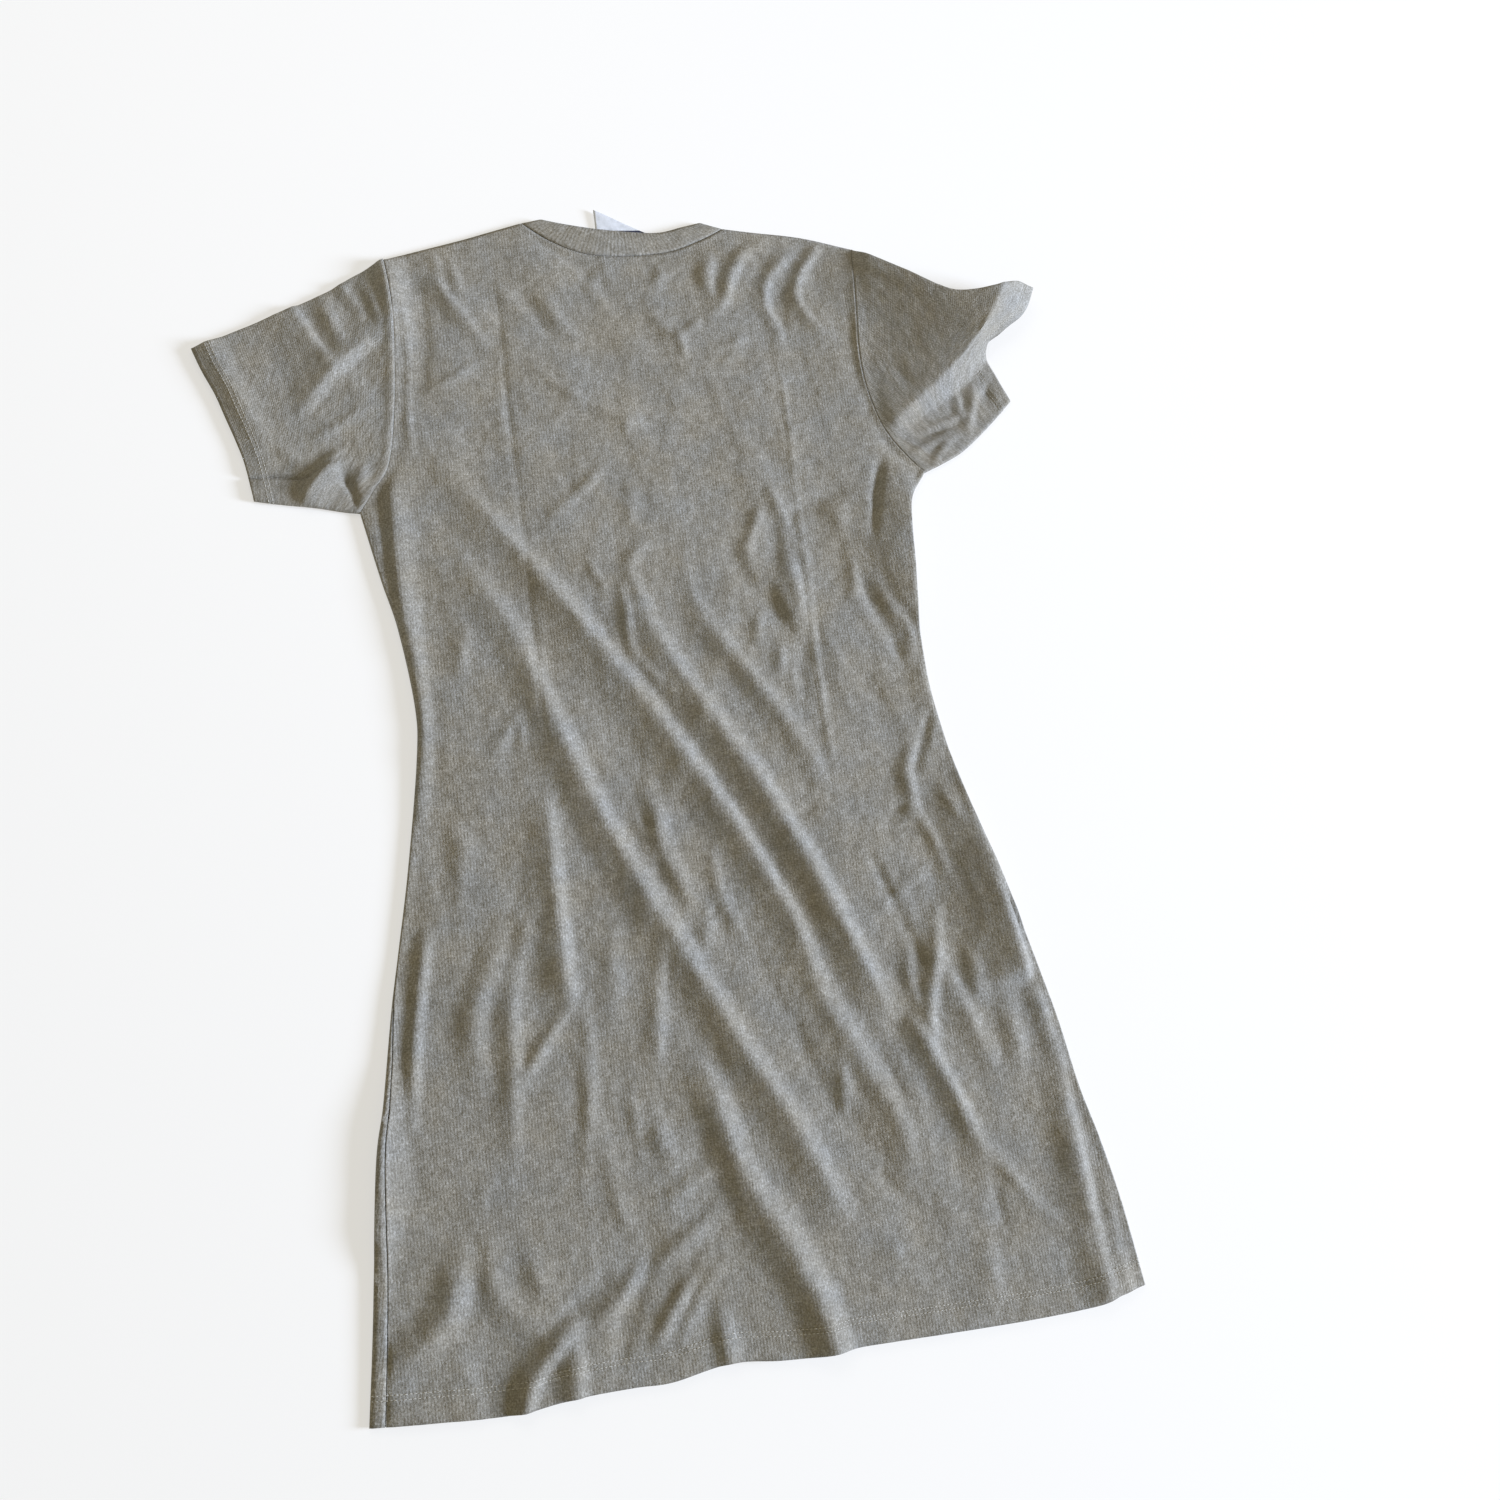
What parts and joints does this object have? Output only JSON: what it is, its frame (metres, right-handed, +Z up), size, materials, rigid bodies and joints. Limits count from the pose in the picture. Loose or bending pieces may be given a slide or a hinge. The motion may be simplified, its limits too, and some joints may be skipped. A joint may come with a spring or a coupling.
{
  "type": "t-shirt dress laid flat",
  "caption": "Short-sleeved jersey t-shirt dress laid flat with its back up, fitted at the waist, flared skirt, soft buckles and one sleeve pushed up.",
  "frame": {"origin": "middle of the dress's plan box, on the surface that it lies on", "axes": "+Z up from that surface, +Y from the hem to the neck, +X across, so that the left sleeve lies at -X when the dress is seen from above with its neck at the top"},
  "size_m": [0.6874, 0.904, 0.0397],
  "materials": {
    "jersey": "heathered taupe single jersey, matt",
    "rib": "the same yarn knitted as a rib",
    "label_ribbon": "bare white satin ribbon"
  },
  "bodies": {
    "root": {"back_panel": "jersey", "front_panel": "jersey", "sleeve_left": "jersey", "sleeve_right": "jersey", "neckband": "rib", "neck_label": "label_ribbon"}
  },
  "joints": []
}
